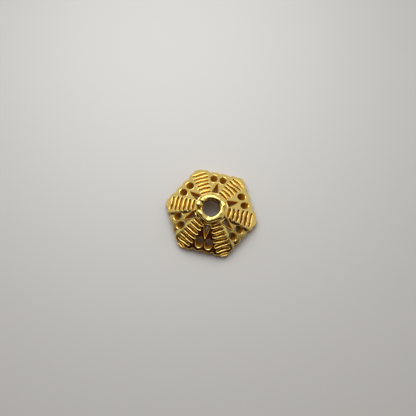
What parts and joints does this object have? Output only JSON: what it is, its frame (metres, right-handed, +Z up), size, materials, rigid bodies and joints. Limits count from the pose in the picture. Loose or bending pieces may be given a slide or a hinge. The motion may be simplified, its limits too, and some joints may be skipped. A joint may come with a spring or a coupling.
{
  "type": "hexagon spacer bead",
  "caption": "Cast domed bead cap with a hexagonal outline, reeded petals, pierced panels, a raised collar round the thread hole and a hollow underside.",
  "frame": {"origin": "centre of the thread hole in the plane of the rim, which the bead stands on", "axes": "+Z up the thread hole towards the collar, +X through the middle of one petal"},
  "size_m": [0.01, 0.009, 0.003],
  "materials": {
    "gilt_metal": "bright antique gold plate, polished on the high edges and brown in the recesses"
  },
  "bodies": {
    "root": {"spacer_bead": "gilt_metal"}
  },
  "joints": []
}
